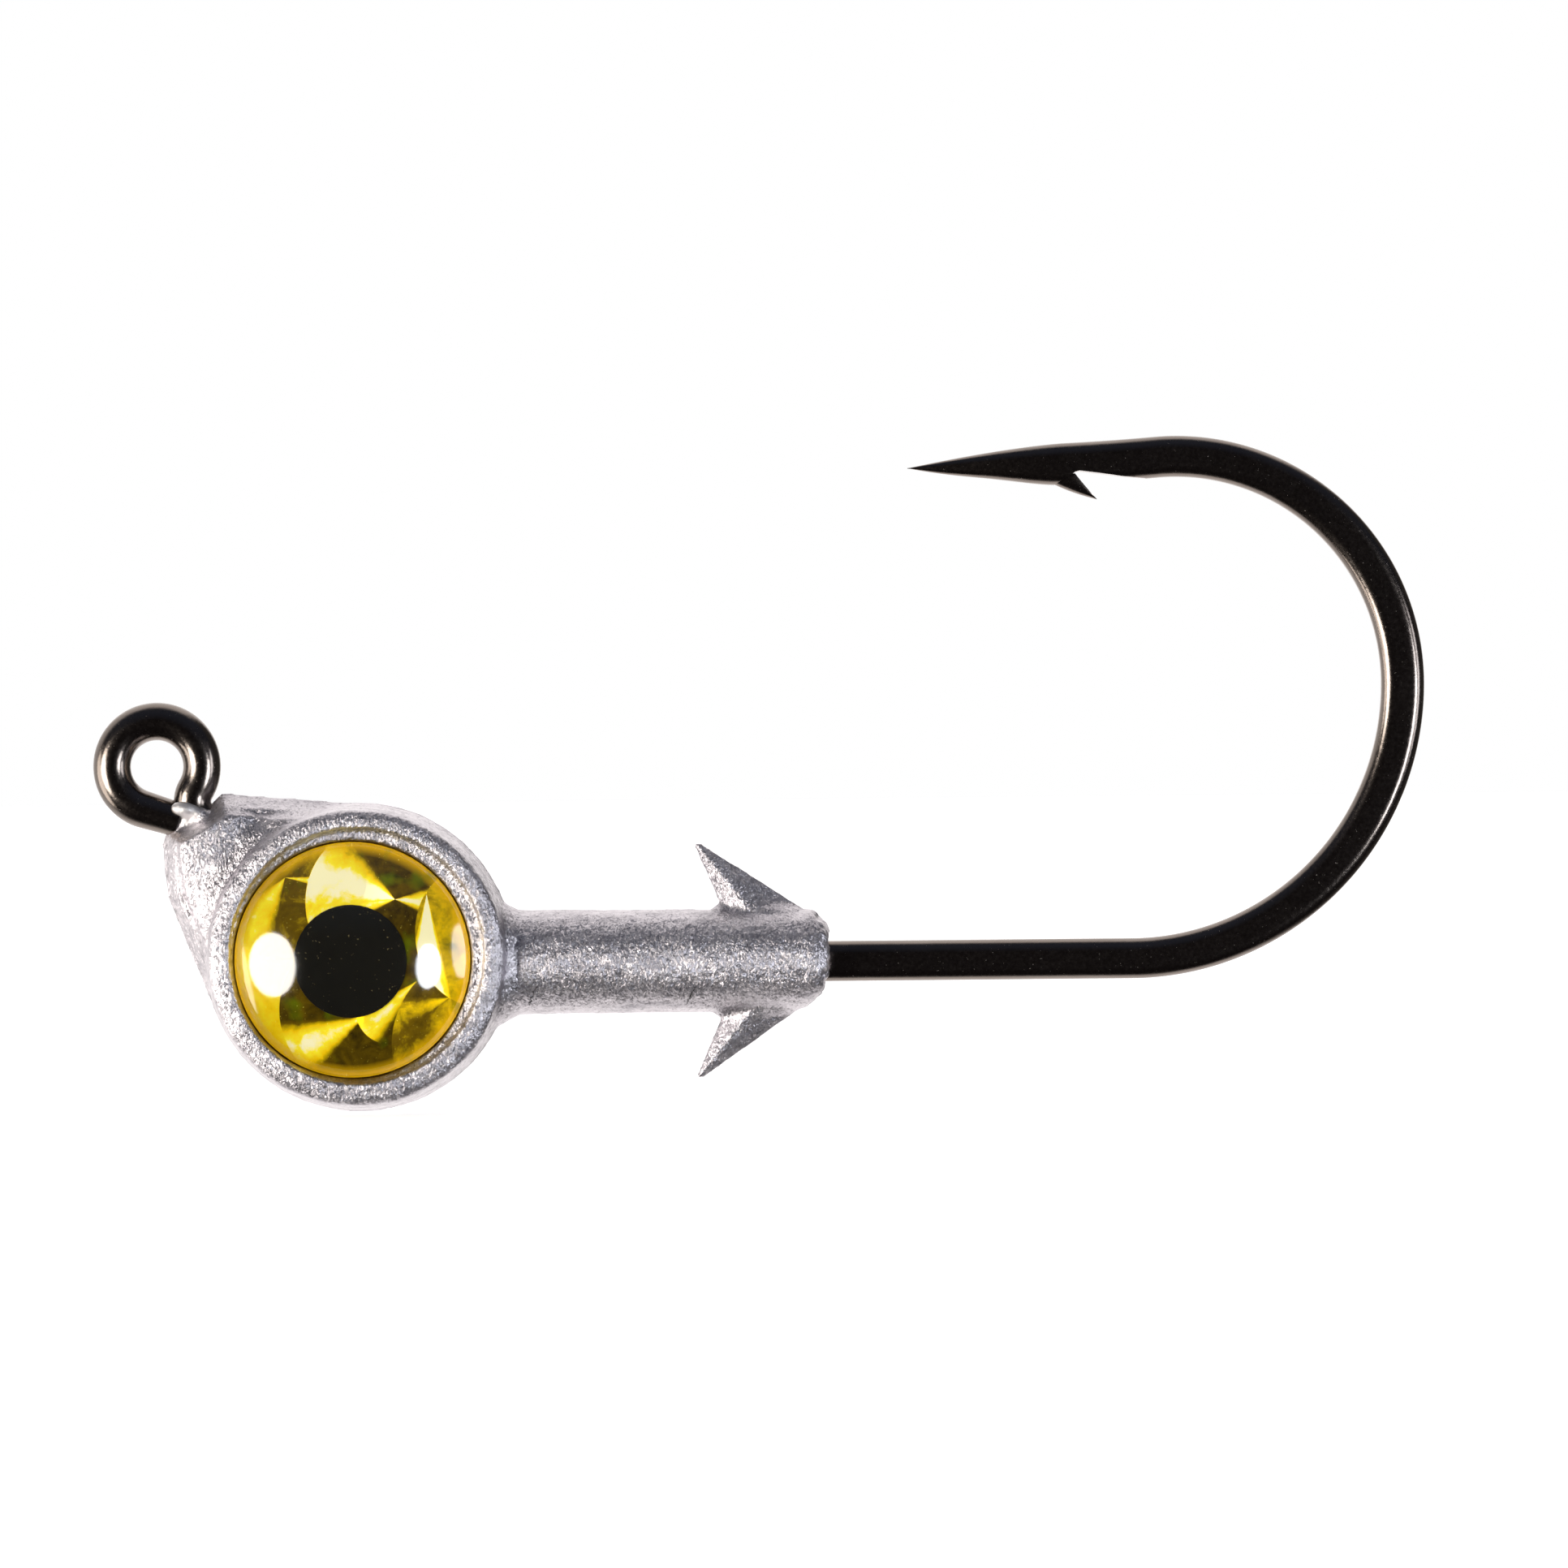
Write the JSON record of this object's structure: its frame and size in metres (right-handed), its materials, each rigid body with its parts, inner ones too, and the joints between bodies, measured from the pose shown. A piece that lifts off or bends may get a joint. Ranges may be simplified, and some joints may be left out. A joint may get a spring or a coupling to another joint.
{
  "type": "jig head",
  "caption": "Jig head for soft baits: round cast head with domed 3-D eyes, barbed bait-keeper collar, upright line eye and a forged round-bend hook.",
  "frame": {"origin": "centre of the hook's line eye, on the mould's parting plane", "axes": "+X along the shank from the head towards the bend, +Z from the shank towards the hook point, Y is the thickness and the lure's left side faces -Y"},
  "size_m": [0.0512, 0.0078, 0.0257],
  "materials": {
    "black_nickel_steel": "forged high-carbon steel, black-nickel plated, glossy",
    "cast_lead": "bare cast lead, bright, fine granular skin",
    "adhesive_film": "clear acrylic adhesive film",
    "yellow_foil": "metallised yellow film with lens-facet holographic pattern",
    "black_ink": "black screen-printed ink",
    "clear_resin": "clear yellow-tinted epoxy dome, high gloss"
  },
  "bodies": {
    "root": {"hook": "black_nickel_steel", "head_casting": "cast_lead", "left_eye_adhesive": "adhesive_film", "left_eye_foil": "yellow_foil", "left_eye_pupil": "black_ink", "left_eye_dome": "clear_resin", "right_eye_adhesive": "adhesive_film", "right_eye_foil": "yellow_foil", "right_eye_pupil": "black_ink", "right_eye_dome": "clear_resin"}
  },
  "joints": []
}
